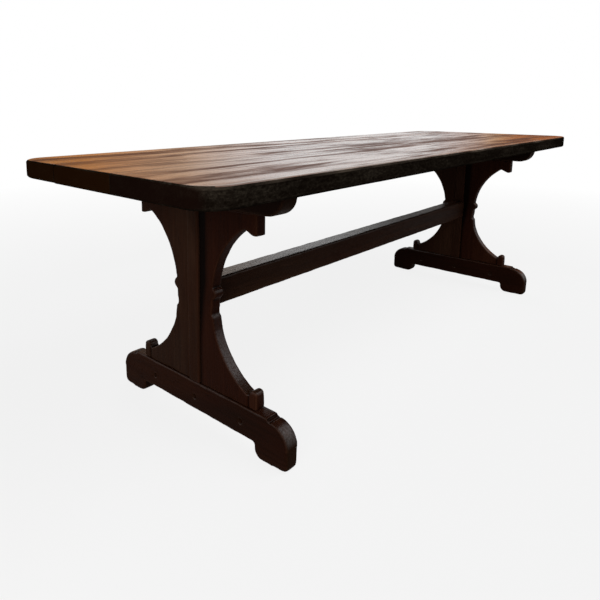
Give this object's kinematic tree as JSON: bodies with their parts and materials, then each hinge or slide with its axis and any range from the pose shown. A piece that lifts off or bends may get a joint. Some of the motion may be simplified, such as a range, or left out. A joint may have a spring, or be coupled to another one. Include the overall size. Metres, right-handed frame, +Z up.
{
  "type": "refectory table",
  "caption": "Long oak refectory table: a thick plank top with rounded corners on two shaped trestles, tied by a stretcher at mid height.",
  "frame": {"origin": "on the floor, under the middle of the top", "axes": "+X along the length of the top, +Y across it towards the back plank, +Z up"},
  "size_m": [2.44, 0.78, 0.76],
  "materials": {
    "top_oak": "dark stained oak, satin wax polish, worn pale along the edges",
    "trestle_oak": "nearly black stained oak, dull wax polish",
    "peg_oak": "dark stained end grain",
    "screw_steel": "dull steel"
  },
  "bodies": {
    "root": {"plank_back": "top_oak", "plank_middle": "top_oak", "plank_front": "top_oak", "tongue_back": "peg_oak", "tongue_front": "peg_oak", "stretcher": "trestle_oak", "foot_left": "trestle_oak", "bearer_left": "trestle_oak", "post_left": "trestle_oak", "cheek_left_back": "trestle_oak", "cheek_left_front": "trestle_oak", "foot_pegs_left": "peg_oak", "bearer_pegs_left": "peg_oak", "top_screws_left": "screw_steel", "foot_right": "trestle_oak", "bearer_right": "trestle_oak", "post_right": "trestle_oak", "cheek_right_back": "trestle_oak", "cheek_right_front": "trestle_oak", "foot_pegs_right": "peg_oak", "bearer_pegs_right": "peg_oak", "top_screws_right": "screw_steel"}
  },
  "joints": []
}
